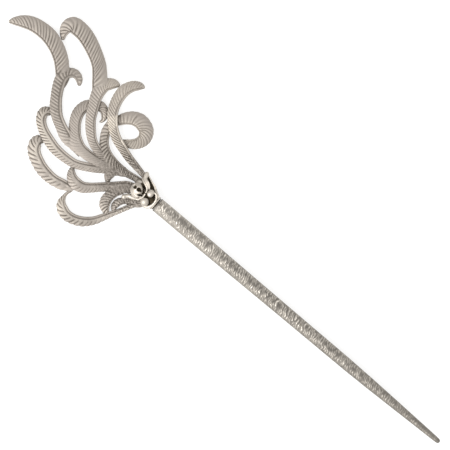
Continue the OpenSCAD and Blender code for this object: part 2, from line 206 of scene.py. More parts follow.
FRONT = [
    [-2.25, 6.95, 1.5, 0.0], [-4.0, 9.25, 1.6, 0.1], [-5.95, 11.55, 1.95, 0.3], [-8.4, 14.45, 2.35, 0.7],
    [-10.4, 17.4, 2.6, 1.1], [-12.4, 20.6, 2.8, 1.4], [-13.5, 23.7, 2.8, 1.5], [-14.0, 26.8, 3.0, 1.5],
    [-13.9, 29.8, 3.1, 1.4], [-13.2, 32.4, 3.3, 1.2], [-11.9, 35.0, 3.5, 0.9], [-10.0, 37.3, 3.6, 0.7],
    [-7.5, 38.6, 3.2, 0.5], [-5.4, 38.8, 2.6, 0.3], [-4.1, 38.5, 1.7, 0.2], [-3.2, 38.0, 0.6, 0.2]]
LOOP = [
    [-4.3, 6.5, 1.7, 0.0], [-6.4, 7.85, 1.8, 0.0], [-8.8, 9.15, 2.0, 0.0], [-11.2, 10.6, 2.7, 0.0],
    [-14.0, 12.8, 3.5, 0.1], [-15.9, 15.6, 3.2, 0.2], [-16.7, 18.2, 2.8, 0.3], [-16.8, 20.8, 2.6, 0.3],
    [-16.2, 23.5, 2.7, 0.2], [-14.8, 25.7, 2.7, 0.1], [-13.2, 26.9, 2.7, 0.0], [-11.5, 27.4, 3.0, 0.0],
    [-9.2, 28.0, 3.7, 0.0], [-6.6, 27.9, 4.3, 0.0], [-4.2, 26.6, 4.7, 0.0], [-2.6, 23.9, 4.5, 0.0],
    [-3.2, 21.1, 4.0, 0.0], [-5.3, 19.5, 3.3, 0.0], [-7.7, 19.2, 2.7, 0.1], [-9.5, 19.6, 2.0, 0.2],
    [-11.0, 20.3, 1.0, 0.3]]
SIDE_LEFT = [
    [-9.7, 9.0, 1.3, 0.0], [-13.3, 10.1, 2.3, 0.0], [-16.7, 10.9, 2.7, 0.0], [-19.8, 11.1, 2.6, 0.0],
    [-23.3, 11.7, 2.6, 0.0], [-26.8, 12.7, 2.7, 0.1], [-30.3, 15.0, 3.0, 0.2], [-33.2, 17.6, 3.3, 0.3],
    [-35.3, 20.5, 3.3, 0.3], [-36.8, 23.2, 3.0, 0.2], [-37.7, 25.6, 2.9, 0.1], [-37.9, 27.9, 3.0, 0.0],
    [-37.2, 29.7, 3.2, 0.0], [-35.8, 30.3, 2.8, 0.0], [-34.2, 29.7, 1.5, 0.1]]
LOWER_LEFT = [
    [-27.0, 3.8, 1.3, 0.0], [-28.2, 4.7, 2.3, 0.0], [-30.6, 5.6, 3.3, 0.0], [-33.6, 7.1, 3.5, 0.0],
    [-36.0, 9.1, 3.8, 0.0], [-38.0, 11.5, 3.9, 0.0], [-39.4, 14.1, 3.9, 0.0], [-40.2, 16.4, 3.9, 0.0],
    [-40.2, 18.5, 3.9, 0.0], [-39.3, 20.2, 3.7, 0.0], [-37.9, 20.7, 2.7, 0.0], [-36.6, 20.2, 1.0, 0.1]]
LEVEL = [
    [-7.0, 4.5, 3.0, 0.0], [-9.3, 4.8, 3.7, 0.0], [-12.0, 4.8, 3.4, 0.0], [-15.0, 4.9, 2.8, 0.0],
    [-18.0, 4.8, 2.7, 0.0], [-21.3, 4.6, 2.9, 0.0], [-24.1, 4.8, 3.4, 0.1], [-26.2, 6.0, 3.7, 0.3],
    [-27.5, 8.0, 3.1, 0.3], [-27.7, 10.1, 2.0, 0.2], [-27.1, 12.0, 0.6, 0.1]]
BOTTOM = [
    [-4.0, -0.7, 2.0, 0.0], [-7.0, -1.2, 1.5, 0.0], [-9.5, -2.2, 1.4, 0.0], [-11.8, -3.2, 1.4, 0.0],
    [-14.2, -4.1, 1.6, 0.0], [-17.2, -5.3, 2.0, 0.0], [-20.3, -6.4, 2.4, 0.0], [-23.8, -6.7, 2.9, 0.0],
    [-26.9, -6.0, 3.1, 0.0], [-29.4, -4.5, 3.3, 0.0], [-30.8, -2.4, 3.3, 0.0], [-31.1, -0.3, 2.5, 0.0],
    [-30.3, 1.6, 1.2, 0.0], [-29.2, 2.9, 0.8, 0.0], [-27.7, 3.8, 0.8, 0.0]]
FINGER = [
    [-10.7, 4.2, 2.7, 0.0], [-13.0, 3.5, 2.8, 0.0], [-14.8, 2.3, 3.1, 0.0], [-16.2, 0.7, 3.3, 0.1],
    [-16.7, -1.2, 3.1, 0.1], [-16.3, -2.8, 2.2, 0.1], [-15.4, -4.3, 0.7, 0.1]]
CURL = [
    [-4.4, -0.1, 2.2, 0.0], [-7.2, 0.1, 1.8, 0.0], [-9.5, 0.35, 1.6, 0.0], [-10.9, 0.35, 1.9, 0.0],
    [-12.2, -0.1, 2.1, 0.0], [-13.3, -1.2, 1.9, 0.0], [-13.6, -2.4, 1.4, 0.0], [-13.1, -3.4, 0.8, 0.0]]
SPUR = [
    [-13.9, 11.0, 3.1, 0.0], [-15.2, 9.0, 2.9, 0.0], [-15.6, 7.5, 1.7, 0.0], [-15.5, 6.0, 0.8, 0.0]]

# Each plume: its sections, the side of its rib (1 is left of the way from root to tip), the rib's width, the
# distance between barbs, how far a barb leans towards the tip as a share of the width, the depth of the
# furrows, the share of the width that a furrow cuts into the outer edge, the share of the blade beside the
# rib that stays smooth, and how wide a furrow opens at the outer edge, as a share of the distance between
# barbs. Lean and depth are given at root and tip.
PLUMES = [
    [TALL_OUTER, 1, 0.5, 1.35, (1.0, 0.8), (0.2, 0.2), 0.01, 0.0, 0.95],
    [HOOKED, -1, 0.9, 1.2, (1.2, 0.4), (0.2, 0.3), 0.03, 0.0, 1.45],
    [MIDDLE_LEFT, -1, 0.5, 1.05, (1.0, 0.8), (0.06, 0.14), 0.03, 0.1, 0.8],
    [CENTRE, -1, 0.5, 1.0, (1.1, 0.6), (0.17, 0.15), 0.02, 0.0, 1.0],
    [TALL_INNER, 1, 0.5, 1.35, (1.5, 0.4), (0.18, 0.22), 0.01, 0.0, 0.95],
    [FRONT, -1, 0.65, 1.2, (2.2, 1.0), (0.26, 0.15), 0.03, 0.0, 0.8],
    [LOOP, -1, 0.45, 1.05, (-1.4, 0.6), (0.28, 0.17), 0.02, 0.0, 0.9],
    [SIDE_LEFT, -1, 0.75, 1.15, (1.0, 0.8), (0.08, 0.3), 0.05, 0.25, 0.8],
    [LOWER_LEFT, -1, 0.75, 1.62, (1.0, 0.9), (0.24, 0.27), 0.06, 0.2, 0.85],
    [LEVEL, -1, 0.6, 1.1, (0.8, 0.8), (0.06, 0.2), 0.03, 0.3, 0.7],
    [BOTTOM, -1, 0.7, 1.5, (1.0, 1.0), (0.08, 0.28), 0.07, 0.2, 0.8],
    [FINGER, 1, 0.4, 1.05, (0.8, 0.4), (0.2, 0.26), 0.05, 0.0, 0.9],
    [CURL, 1, 0.3, 1.0, (0.5, 0.5), (0.08, 0.14), 0.04, 0.0, 0.8],
    [SPUR, 1, 0.3, 0.9, (0.3, 0.3), (0.12, 0.14), 0.04, 0.0, 0.8]]

# The arms that carry the roots: one end and the other, the radii there, and height above the back plane.
# Those that start under the socket reach up into it, and the others stay below the plumes' furrows.
ARMS = [
    [[-3.0, 3.0], [-3.5, 7.2], 1.2, 0.8, 1.3],
    [[-4.5, 4.0], [-6.0, 7.6], 1.2, 0.8, 1.3],
    [[-6.0, 7.6], [-10.5, 10.4], 0.8, 1.3, 0.85],
    [[-10.5, 10.5], [-14.5, 12.2], 1.4, 1.4, 0.85],
    [[-14.5, 12.2], [-18.0, 13.2], 1.4, 1.2, 0.85],
    [[-4.0, 4.0], [-10.0, 4.8], 1.5, 1.4, 1.3],
    [[-10.0, 4.8], [-14.0, 4.6], 1.4, 1.0, 0.85],
    [[-2.0, 2.0], [-4.5, -0.6], 1.2, 0.8, 1.3],
    [[-4.5, -0.6], [-8.5, -0.8], 0.8, 0.8, 0.85]]
# An arm's top is this share of its foot's radius
ARM_TOP = 0.8

# The knot's strands: place in the upright drawing, height above the shaft's axis, and radius
PETAL = [
    [-2.4, 9.25, 0.6, 0.8], [-2.75, 8.35, 0.75, 0.8], [-3.0, 7.5, 0.95, 0.75], [-2.7, 6.8, 1.2, 0.8],
    [-2.3, 6.1, 1.45, 0.8], [-1.9, 5.0, 1.6, 0.65], [-1.8, 3.8, 1.7, 0.5]]
PETAL_RIM = [
    [-4.0, 8.0, 1.2, 0.2], [-3.5, 6.8, 1.8, 0.25], [-2.9, 5.8, 2.3, 0.27], [-2.4, 4.85, 2.5, 0.27],
    [-2.3, 3.9, 2.6, 0.27], [-2.6, 3.1, 2.6, 0.27]]
OUTER_RIM = [
    [-1.75, 8.6, 0.5, 0.22], [-1.15, 7.55, 0.6, 0.26], [-0.5, 6.35, 0.8, 0.28], [0.15, 5.25, 0.9, 0.34],
    [0.5, 4.25, 1.0, 0.42], [0.75, 3.3, 1.2, 0.5], [1.1, 2.3, 1.4, 0.55], [1.35, 1.4, 1.6, 0.55]]
SCROLL = [
    [0.05, 3.05, 2.3, 0.22], [0.7, 2.4, 2.5, 0.28], [0.85, 1.4, 2.55, 0.33], [0.6, 0.35, 2.5, 0.38],
    [-0.1, -0.65, 2.2, 0.42], [-1.05, -1.4, 1.8, 0.52], [-2.1, -1.7, 1.4, 0.58], [-3.1, -1.4, 1.1, 0.6],
    [-3.8, -0.8, 0.9, 0.55], [-4.0, -0.05, 0.9, 0.5]]
LEAF = [
    [-10.0, 1.7, 0.4, 0.78], [-9.2, 1.9, 0.45, 0.78], [-8.35, 1.95, 0.5, 0.82], [-7.5, 1.65, 0.7, 0.8],
    [-6.7, 1.3, 0.9, 0.66], [-5.9, 1.0, 1.1, 0.46], [-5.3, 0.9, 1.3, 0.42], [-4.4, 1.15, 1.7, 0.36],
    [-3.5, 1.75, 2.2, 0.32], [-3.0, 2.5, 2.5, 0.3]]
LIP = [
    [-7.0, 3.0, 1.5, 0.2], [-6.5, 2.4, 1.9, 0.28], [-5.7, 1.95, 2.0, 0.3], [-4.9, 1.68, 1.9, 0.26],
    [-4.1, 1.7, 1.9, 0.2]]
SHOULDER = [[-5.3, 6.3, 0.4, 0.8], [-4.5, 6.5, 0.55, 0.95], [-3.9, 6.2, 0.8, 0.9], [-3.6, 5.6, 1.2, 0.6]]
STRANDS = [PETAL, PETAL_RIM, OUTER_RIM, SCROLL, LEAF, LIP, SHOULDER]
# Steps between two rows of a strand, points round it, and the rings of its round ends, in degrees
STRAND_STEPS = 10
STRAND_SIDES = 20
STRAND_CAPS = [85, 65, 45, 22]
# Beads: place in the upright drawing, height and radius
BEADS = [[-1.15, 2.65, 1.45, 1.5], [-3.0, 0.15, 1.2, 1.7], [-10.0, 1.7, 0.5, 0.85]]
# The low mound under the strands: place, radius, and height above the shaft's axis
MOUND = [
    [-2.4, 8.6, 0.6, 0.0], [-1.4, 6.4, 0.5, 0.0], [0.6, 3.0, 0.5, 0.2], [0.6, 0.4, 0.5, 0.2],
    [-1.2, -1.3, 0.6, 0.2], [-3.4, -1.0, 0.6, 0.2], [-4.4, 4.5, 0.5, 0.3], [-2.0, 5.0, 0.5, 0.3]]
# The saddle that covers the socket under the strands
SADDLE_R = 1.85
SADDLE_L = 5.5
# The boss, a drum under a low cone: place, radius, height of the top above the shaft's axis, the cone's
# height, and radius of its flat top
BOSS = [-5.35, 3.9]
BOSS_R = 2.62
BOSS_TOP = 3.0
BOSS_CROWN = 1.5
BOSS_FLAT = 0.9
# The boss's hollows: height of the floor, and the rounds whose hull is cut out, with place and radius
HOLLOWS = [
    [1.75, [[-6.6, 5.35, 0.55], [-6.2, 4.85, 0.58]]],
    [1.75, [[-5.0, 4.05, 0.72], [-4.2, 3.4, 0.18]]],
    [1.0, [[-5.45, 2.35, 0.14], [-4.6, 2.12, 0.44], [-3.8, 2.25, 0.14]]],
    [0.8, [[-3.45, 5.35, 0.14], [-3.17, 4.7, 0.4], [-3.0, 4.1, 0.38], [-3.0, 3.2, 0.14]]]]
# Sides of large rounds, of the small ones that are melted or cut, and of the collar's outline
LARGE_SIDES = 64
SMALL_SIDES = 24
COLLAR_SIDES = 96
# The cells in which shapes are melted into one skin
MELT_CELL = 0.075
# Where the knot's flat base is, measured from the shaft's axis, and a block as wide and as high as this cuts
# away what is below it
KNOT_BASE_Z = -0.35
BLOCK_W = 50
BLOCK_H = 10
# The collar at the shaft's shoulder: its width, how far its two edges are rounded, and how wide and deep the
# groove between the collar and the shaft is
COLLAR_W = 0.9
COLLAR_ROUND = 0.22
NECK_W = 0.28
NECK_T = 0.35
# The collar's face at the groove counts as hollow too, this far in. That paints the groove dark brown:
# blackening in it, and painted shade between the collar and the shaft.
NECK_WALL = 0.02

# Hollows are measured on a map of heights with cells this wide. A point is on the map where its normal rises
# by more than FACING, and a cell with no point is EMPTY.
MAP_CELL = 0.1
FACING = 0.1
EMPTY = 9.0

# Patches of the cast silver: middle in the upright drawing, distances at which the patch starts and is full,
# how much of its tone shows there, and the tone. The first three make the spray darker round their middles,
# and the last three make it paler.
PATCHES = [
    [-8.5, 10.5, 18, 6, 0.75, "#847d75"], [-32.5, 35.5, 14, 3, 0.45, "#847d75"],
    [-25.0, -8.5, 11, 3, 0.45, "#847d75"], [-11.0, 37.5, 10, 3, 0.6, "#c8c0b5"],
    [-9.0, 22.0, 9, 3, 0.6, "#c8c0b5"], [-33.0, 0.0, 7, 2, 0.6, "#c8c0b5"]]
# Width of the clouds in which tarnish comes and goes, and how far they shift its line either way
CLOUD = 4
CLOUD_SHIFT = 0.1
# Width of the flecks that break up a patch, and how much of its tone shows between flecks and on them
FLECK = 0.9
FLECK_SHARE = [0.55, 1.2]
# Crests are rubbed this much smoother than the stated roughness, and hollows stay this much rougher
RUBBED = 0.06
UNRUBBED = 0.1


# Shapes that the pieces are made of

def row_metres(points):
    """Points of the upright drawing, in millimetres, to the row's frame in metres."""
    points = np.asarray(points, float)
    c = math.cos(DRAWING_LEAN)
    s = math.sin(DRAWING_LEAN)
    x, y, z = points[..., 0], points[..., 1], points[..., 2]
    return np.stack([c * x - s * y + DRAWING_X, s * x + c * y, z], -1) * MM


def smooth(rows, t):
    """A smooth curve through the rows of a table, at row numbers t."""
    i = np.minimum(np.floor(t).astype(int), len(rows) - 2)
    f = (t - i)[..., None]
    a, b, c, d = (rows[np.clip(i + k, 0, len(rows) - 1)] for k in (-1, 0, 1, 2))
    return b + 0.5 * f * (c - a + f * (2 * a - 5 * b + 4 * c - d + f * (3 * (b - c) + d - a)))


def distances(rows):
    """How far each row of a table is from its first, along the drawing."""
    return np.concatenate([[0], np.cumsum(np.linalg.norm(np.diff(rows[:, :2], axis=0), axis=1))])


def rolled_shell(name, points):
    """A closed shell from rings of points in metres: a grid rolled up along its rings, both ends capped."""
    rings, across = points.shape[:2]
    points = np.concatenate([points, points[:, :1]], 1)
    bpy.ops.mesh.primitive_grid_add(x_subdivisions=across, y_subdivisions=rings - 1)
    shell = bpy.context.object
    shell.name = name
    shell.data.name = name
    shell.data.vertices.foreach_set("co", points.reshape(-1))
    bpy.ops.object.mode_set(mode="EDIT")
    bpy.ops.mesh.select_all(action="SELECT")
    bpy.ops.mesh.remove_doubles(threshold=1e-7)
    bpy.ops.mesh.fill_holes(sides=0)
    bpy.ops.mesh.select_all(action="SELECT")
    bpy.ops.mesh.normals_make_consistent(inside=False)
    bpy.ops.object.mode_set(mode="OBJECT")
    return shell


def plume(index, rows, side, rib_w, pitch, lean, relief, notch, bare, furrow_w):
    """One plume: a rounded rib along one edge and a blade with slanted barbs, swept along its sections."""
    rows = np.array(rows)
    numbers = np.arange(len(rows))
    far = distances(rows)
    length = far[-1]
    barbs = max(3, round(length / pitch))
    each_barb = np.arange(barbs + 1)
    number = np.arange(barbs * RINGS_PER_BARB + 1) / RINGS_PER_BARB
    # a hand-cut unevenness of the spacing and depth of the barbs
    chance = np.random.RandomState(index)
    wander = np.interp(number, each_barb, chance.uniform(-BARB_WANDER, BARB_WANDER, barbs + 1))
    s = np.clip(number + wander, 0, barbs) * length / barbs
    uneven = np.interp(number, each_barb, chance.uniform(*FURROW_CHANCE, barbs + 1))
    depth = np.interp(s / length, DEPTH_SPAN, relief) * uneven
    # 0 in the middle of a furrow and 1 on the crest between two
    off = np.abs(np.sin(math.pi * number))[:, None]

    width = smooth(rows, np.interp(s, far, numbers))[:, 2]
    depth = depth * np.clip((width - SHALLOW_W) / SHALLOW_TO_FULL, SHALLOW_LEAST, 1)
    rib = (np.minimum(rib_w, RIB_MOST * width) / width)[:, None]
    # across the top: the rib from 0 to 1, then the blade from 0 to 1
    on_rib = np.linspace(0, 1, RIB_POINTS)[None]
    on_blade = BLADE_POINTS[None]
    rib_top = RIB_TOP - RIB_DROP * np.minimum(np.abs(on_rib - RIB_CREST) / RIB_CREST, 1) ** 2
    rise = 1 - (1 - np.minimum(on_blade / BLADE_RISE_W, 1)) ** 2
    fall = np.clip((on_blade - BLADE_FALL_FROM) / (1 - BLADE_FALL_FROM), 0, 1) ** BLADE_FALL_CURVE
    blade_top = BLADE_TOP + BLADE_RISE * rise - BLADE_FALL * fall
    # a furrow is a wedge that opens from the blade's smooth part to its outer edge
    open_here = np.clip((on_blade - bare) / (1 - bare), 0, 1)
    wedge = np.clip(1 - off / (furrow_w * (1 - 2 * bare * (1 - open_here))), 0, 1)
    furrow = wedge * wedge * (3 - 2 * wedge)
    reach = np.clip(open_here / (FURROW_RAMP + SMOOTH_RAMP * bare), 0, 1) * (1 - FURROW_FADE * fall)
    # the ring's outline: from the back up the rib's edge, over the top, and down the outer edge
    ones = np.ones((len(s), 1))
    edge = 1 - notch * furrow[:, -1:]
    blade = (rib + (1 - rib) * on_blade) * (1 - (1 - edge) * on_blade ** 2)
    p = np.concatenate([FOOT_IN * ones, 0 * ones, rib * on_rib, blade, edge, edge - FOOT_IN], 1)
    h = np.concatenate([0 * ones, RIB_FOOT * ones, rib_top * ones, blade_top * ones,
                        OUTER_FOOT * ones, 0 * ones], 1)
    sink = np.concatenate([np.zeros((len(s), 2 + on_rib.size)), depth[:, None] * furrow * reach,
                           np.zeros((len(s), 2))], 1)

    lean_here = np.interp(s / length, LEAN_SPAN, lean) * width
    lean_here = np.clip(lean_here, -LEAN_BACK * s, np.minimum(s, (length - s) / 2))[:, None]
    d = s[:, None] + lean_here * p
    at = smooth(rows, np.interp(d, far, numbers))
    ahead = smooth(rows, np.interp(d + LOOK_AROUND, far, numbers))
    behind = smooth(rows, np.interp(d - LOOK_AROUND, far, numbers))
    along = (ahead - behind)[..., :2]
    along /= np.linalg.norm(along, axis=-1, keepdims=True)
    out = np.stack([-along[..., 1], along[..., 0]], -1)
    w = np.maximum(at[..., 2], LEAST_W)
    # the tip is rounded off
    last = np.clip((length - d) / TIP_ROUND, TIP_LAST, 1)
    close = np.sqrt(1 - (1 - last) ** 2)
    grow = np.minimum(1, w / FULL_OUT_W)
    rib_edge = w / 2 + RIB_OUT * grow
    barb_edge = w / 2 + BARB_OUT * grow
    sideways = side * close * (rib_edge - p * (rib_edge + barb_edge))
    xy = at[..., :2] + out * sideways[..., None]
    thick = h * (BLADE_T + BLADE_SWELL * w) - sink
    z = BACK_Z + at[..., 3] + thick * (TIP_T + (1 - TIP_T) * close)
    # the casting skin is rough round the boss, where the solder's heat kept the finisher away
    near = np.clip((ROUGH_REACH - np.hypot(xy[..., 0] - BOSS[0], xy[..., 1] - BOSS[1])) / ROUGH_FADE, 0, 1)
    for i, j in zip(*np.nonzero((near > 0) & (h > TOP_FROM))):
        place = Vector((xy[i, j, 0], xy[i, j, 1], index)) / ROUGH_GRAIN
        z[i, j] += ROUGH_HEIGHT * near[i, j] * noise.noise(place)
    return rolled_shell(f"plume_{index}", row_metres(np.concatenate([xy, z[..., None]], -1)))


def arm(start, end, r1, r2, height):
    """A round-ended arm that lies on the back plane: the hull of two low cones."""
    bpy.ops.object.select_all(action="DESELECT")
    ends = []
    for (x, y), r in ((start, r1), (end, r2)):
        bpy.ops.mesh.primitive_cone_add(
            vertices=32, radius1=r * MM, radius2=ARM_TOP * r * MM, depth=height * MM,
            location=row_metres([x, y, BACK_Z + height / 2]))
        ends.append(bpy.context.object)
    return hull("arm", ends)


def hull(name, pieces):
    """The smallest body without hollows that holds all the pieces."""
    body = join(name, pieces)
    bpy.ops.object.mode_set(mode="EDIT")
    bpy.ops.mesh.select_all(action="SELECT")
    bpy.ops.mesh.convex_hull()
    bpy.ops.mesh.normals_make_consistent(inside=False)
    bpy.ops.object.mode_set(mode="OBJECT")
    return body


def join(name, pieces):
    """Pieces joined in one mesh, with their places in it."""
    bpy.ops.object.select_all(action="DESELECT")
    for piece in pieces:
        piece.select_set(True)
    bpy.context.view_layer.objects.active = pieces[0]
    if len(pieces) > 1:
        bpy.ops.object.join()
    bpy.ops.object.transform_apply(location=True, rotation=True, scale=True)
    pieces[0].name = name
    pieces[0].data.name = name
    return pieces[0]


def combine(body, tool, operation):
    """Fuses a piece to the body, or cuts it away, and removes it."""
    bpy.context.view_layer.objects.active = body
    change = body.modifiers.new("combine", "BOOLEAN")
    change.operation = operation
    change.solver = "MANIFOLD"
    change.object = tool
    bpy.ops.object.modifier_apply(modifier=change.name)
    bpy.data.objects.remove(tool)


def clean(body):
    """Takes out what the cutting has left by chance: edges of no length, flaps of one face or of two on the
    same three points, and specks."""
    mesh = bmesh.new()
    mesh.from_mesh(body.data)
    bmesh.ops.triangulate(mesh, faces=mesh.faces)
    bmesh.ops.remove_doubles(mesh, verts=mesh.verts, dist=NO_LENGTH * MM)
    pairs = {}
    for face in mesh.faces:
        pairs.setdefault(frozenset(face.verts), []).append(face)
    doubled = [face for faces in pairs.values() if len(faces) > 1 for face in faces]
    bmesh.ops.delete(mesh, geom=doubled, context="FACES")
    flaps = [face for face in mesh.faces if any(len(edge.link_faces) == 1 for edge in face.edges)]
    bmesh.ops.delete(mesh, geom=flaps, context="FACES")
    parts = []
    found = set()
    for first in mesh.verts:
        if first not in found:
            found.add(first)
            part = [first]
            for vertex in part:
                others = {edge.other_vert(vertex) for edge in vertex.link_edges} - found
                found |= others
                part.extend(sorted(others, key=lambda other: other.index))
            parts.append(part)
    parts.sort(key=len)
    specks = [vertex for part in parts[:-1] for vertex in part]
    bmesh.ops.delete(mesh, geom=specks, context="VERTS")
    mesh.to_mesh(body.data)
    mesh.free()


def rod(x0, x1, r, sides=48):
    """A round rod along the shaft's axis, in millimetres."""
    bpy.ops.mesh.primitive_cylinder_add(
        vertices=sides, radius=r * MM, depth=(x1 - x0) * MM, location=((x0 + x1) / 2 * MM, 0, 0),
        rotation=(0, math.pi / 2, 0))
    return join("rod", [bpy.context.object])


def mark_hollows(piece, reach, depth, rise, walls, rounds, dark_x=math.inf):
    """Writes where each point lies: 0 on a crest, 0.5 on a plain surface and 1 in a hollow, for crests and
    hollows up to twice reach wide. A hollow as deep as half of depth counts in full, and a crest as high as
    half of rise. A point counts where its normal rises by more than walls, and the levels are evened out in
    so many rounds. All beyond dark_x along the shaft counts as a hollow."""
    mesh = piece.data
    co = np.zeros(len(mesh.vertices) * 3)
    mesh.vertices.foreach_get("co", co)
    co = co.reshape(-1, 3) / MM
    facing = np.zeros(len(mesh.vertices) * 3)
    mesh.vertex_normals.foreach_get("vector", facing)
    facing = facing.reshape(-1, 3)[:, 2]
    steps = round(reach / MAP_CELL)
    # the map has an empty margin all round, wide enough for both turns of spreading
    place = np.floor((co[:, :2] - co[:, :2].min(0)) / MAP_CELL).astype(int) + 2 * steps + 2
    top = np.full(place.max(0) + 2 * steps + 3, -EMPTY)
    front = facing > FACING
    np.maximum.at(top, tuple(place[front].T), co[front, 2])
    bare = top == -EMPTY
    filled = spread(spread(top, steps, np.maximum), steps, np.minimum)
    lowered = spread(np.where(bare, EMPTY, top), steps, np.minimum)
    worn = spread(np.where(bare, -EMPTY, lowered), steps, np.maximum)
    filled, worn = (field[tuple(place.T)] for field in (filled, worn))
    level = 0.5 + (filled - co[:, 2]) / depth - np.maximum(co[:, 2] - worn, 0) / rise
    level = np.where(facing > walls, np.clip(level, 0, 1), 0.5)
    write_hollow(piece, np.where(co[:, 0] > dark_x, 1, level), rounds)


def spread(field, steps, pick):
    """The highest or lowest value within a round reach of each cell."""
    result = field
    for i in range(-steps, steps + 1):
        across = field
        for j in range(1, int(math.sqrt(steps * steps - i * i)) + 1):
            across = pick(across, pick(np.roll(field, j, 1), np.roll(field, -j, 1)))
        result = pick(result, np.roll(across, i, 0))
    return result


def write_hollow(piece, level, rounds):
    """Evens the levels out along the mesh's edges and keeps them on its points."""
    mesh = piece.data
    edges = np.zeros(len(mesh.edges) * 2, int)
    mesh.edges.foreach_get("vertices", edges)
    a, b = edges.reshape(-1, 2).T
    count = np.bincount(a, minlength=len(level)) + np.bincount(b, minlength=len(level))
    for _ in range(rounds):
        total = np.bincount(a, level[b], len(level)) + np.bincount(b, level[a], len(level))
        level = (level + total) / (1 + count)
    layer = mesh.attributes.new("hollow", "FLOAT", "POINT")
    layer.data.foreach_set("value", level.astype(np.float32))


def dress(piece, node, material, sharp):
    """Gives a piece its material, keeps edges over so many degrees sharp, and stands it in for its node."""
    piece.data.materials.clear()
    piece.data.materials.append(material)
    bpy.ops.object.select_all(action="DESELECT")
    piece.select_set(True)
    bpy.context.view_layer.objects.active = piece
    bpy.ops.object.shade_smooth_by_angle(angle=math.radians(sharp))
    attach(piece, "root")
    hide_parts(node)


# The three pieces, with the strands, pillars and balls that the knot is built from

def feather_spray():
    """All plumes, the arms that carry them and the socket, fused in one casting."""
    body = rod(-SEAT_GAP - SOCKET_L, -SEAT_GAP, SOCKET_R)
    for row in ARMS:
        combine(body, arm(*row), "UNION")
    for index, settings in enumerate(PLUMES):
        combine(body, plume(index, *settings), "UNION")
    combine(body, rod(TANG_END - TANG_ROOM, SOCKET_CUT_TO, TANG_R + SEAT_GAP), "DIFFERENCE")
    clean(body)
    body.name = "feather_spray"
    body.data.name = "feather_spray"
    mark_hollows(body, reach=0.8, depth=0.5, rise=0.9, walls=0.1, rounds=1)
    return body


def turned(profile, around):
    """Rings of points round the shaft's axis, one for each place and radius of a profile."""
    return np.array([[[x, r * math.cos(a), r * math.sin(a)] for a in around] for x, r in profile])


def hammered_shaft():
    """The shaft with its tang: rings along the axis, with the hammer's crests across its front."""
    taper = np.array(TAPER)
    x = np.arange(SHOULDER_CHAMFER, SHAFT_TIP - TIP_R, RING_STEP)
    share = np.interp((x - SHAFT_STRAIGHT) / (SHAFT_TIP - SHAFT_STRAIGHT), taper[:, 0], taper[:, 1])
    r = (SHAFT_R - (SHAFT_R - TIP_R) * share)[:, None]
    around = np.linspace(0, 2 * math.pi, SHAFT_SIDES, endpoint=False)
    y = r * np.cos(around)
    z = r * np.sin(around)
    crest = np.zeros(y.shape)
    for i in range(len(x)):
        for j in range(len(around)):
            place = Vector((x[i], y[i, j], z[i, j]))
            number = (x[i] + CREST_DRIFT * y[i, j]) / CREST_PITCH
            number += CREST_WANDER * noise.noise(place / CREST_L)
            place = Vector((x[i] / CREST_PITCH, y[i, j] / CREST_L, z[i, j] / CREST_L + ELSEWHERE))
            whole = min(max(CREST_WHOLE + CREST_BREAK * noise.noise(place), CREST_LEAST), 1)
            crest[i, j] = (0.5 + 0.5 * math.cos(2 * math.pi * number)) * whole
    # the hammer has worked the front, and less so the back and the tip. Its strength falls off past 0.7 of
    # the radius on the side towards the tall plumes, and past half of it on the other. The same share sets
    # the colour. Where it falls off across the shaft, both sides of the front are painted a flat duller grey
    # as shade, most of all the side towards the tall plumes, and the pale crests are left only down the
    # middle of the front as a painted highlight band.
    across = y / r
    struck_and_lit = np.clip((1.15 - across) / 0.45, 0.1, 1) * np.clip((across + 1.0) / 0.5, 0.2, 1)
    struck_and_lit = struck_and_lit * np.clip(0.6 + z / r, 0.2, 1)
    struck_and_lit = struck_and_lit * np.interp(x, *STRUCK_ALONG)[:, None]
    dent = CREST_HEIGHT * struck_and_lit * (1 - crest)
    dull_and_shade = DULL + struck_and_lit * (DULL_FURROW * (1 - crest) - DULL_CREST * crest)
    dull_and_shade = dull_and_shade + np.interp(x, *DULL_ALONG)[:, None]
    tang = turned([(TANG_END, TANG_R - TANG_CHAMFER), (TANG_END + TANG_CHAMFER, TANG_R),
                   (0, TANG_R), (0, SHAFT_R - SHOULDER_CHAMFER)], around)
    body = np.stack([np.repeat(x[:, None], len(around), 1), (r - dent) * np.cos(around),
                     (r - dent) * np.sin(around)], -1)
    tip = turned([(SHAFT_TIP - TIP_R + TIP_R * math.sin(a), max(TIP_R * math.cos(a), TIP_FLAT))
                  for a in np.radians(TIP_TURNS)], around)
    stick = rolled_shell("hammered_shaft", np.concatenate([tang, body, tip]) * MM)
    # each point takes its dullness and painted shade from the ring and the side that it lies nearest to
    co = np.zeros(len(stick.data.vertices) * 3)
    stick.data.vertices.foreach_get("co", co)
    co = co.reshape(-1, 3) / MM
    row = np.clip(np.round((co[:, 0] - x[0]) / RING_STEP).astype(int), 0, len(x) - 1)
    turn = np.arctan2(co[:, 2], co[:, 1]) / (2 * math.pi)
    column = np.round(turn * len(around)).astype(int) % len(around)
    level = np.where(co[:, 0] < x[0] + SHOULDER_DARK_W, SHOULDER_DARK, dull_and_shade[row, column])
    write_hollow(stick, np.clip(level, 0, 1), rounds=1)
    return stick


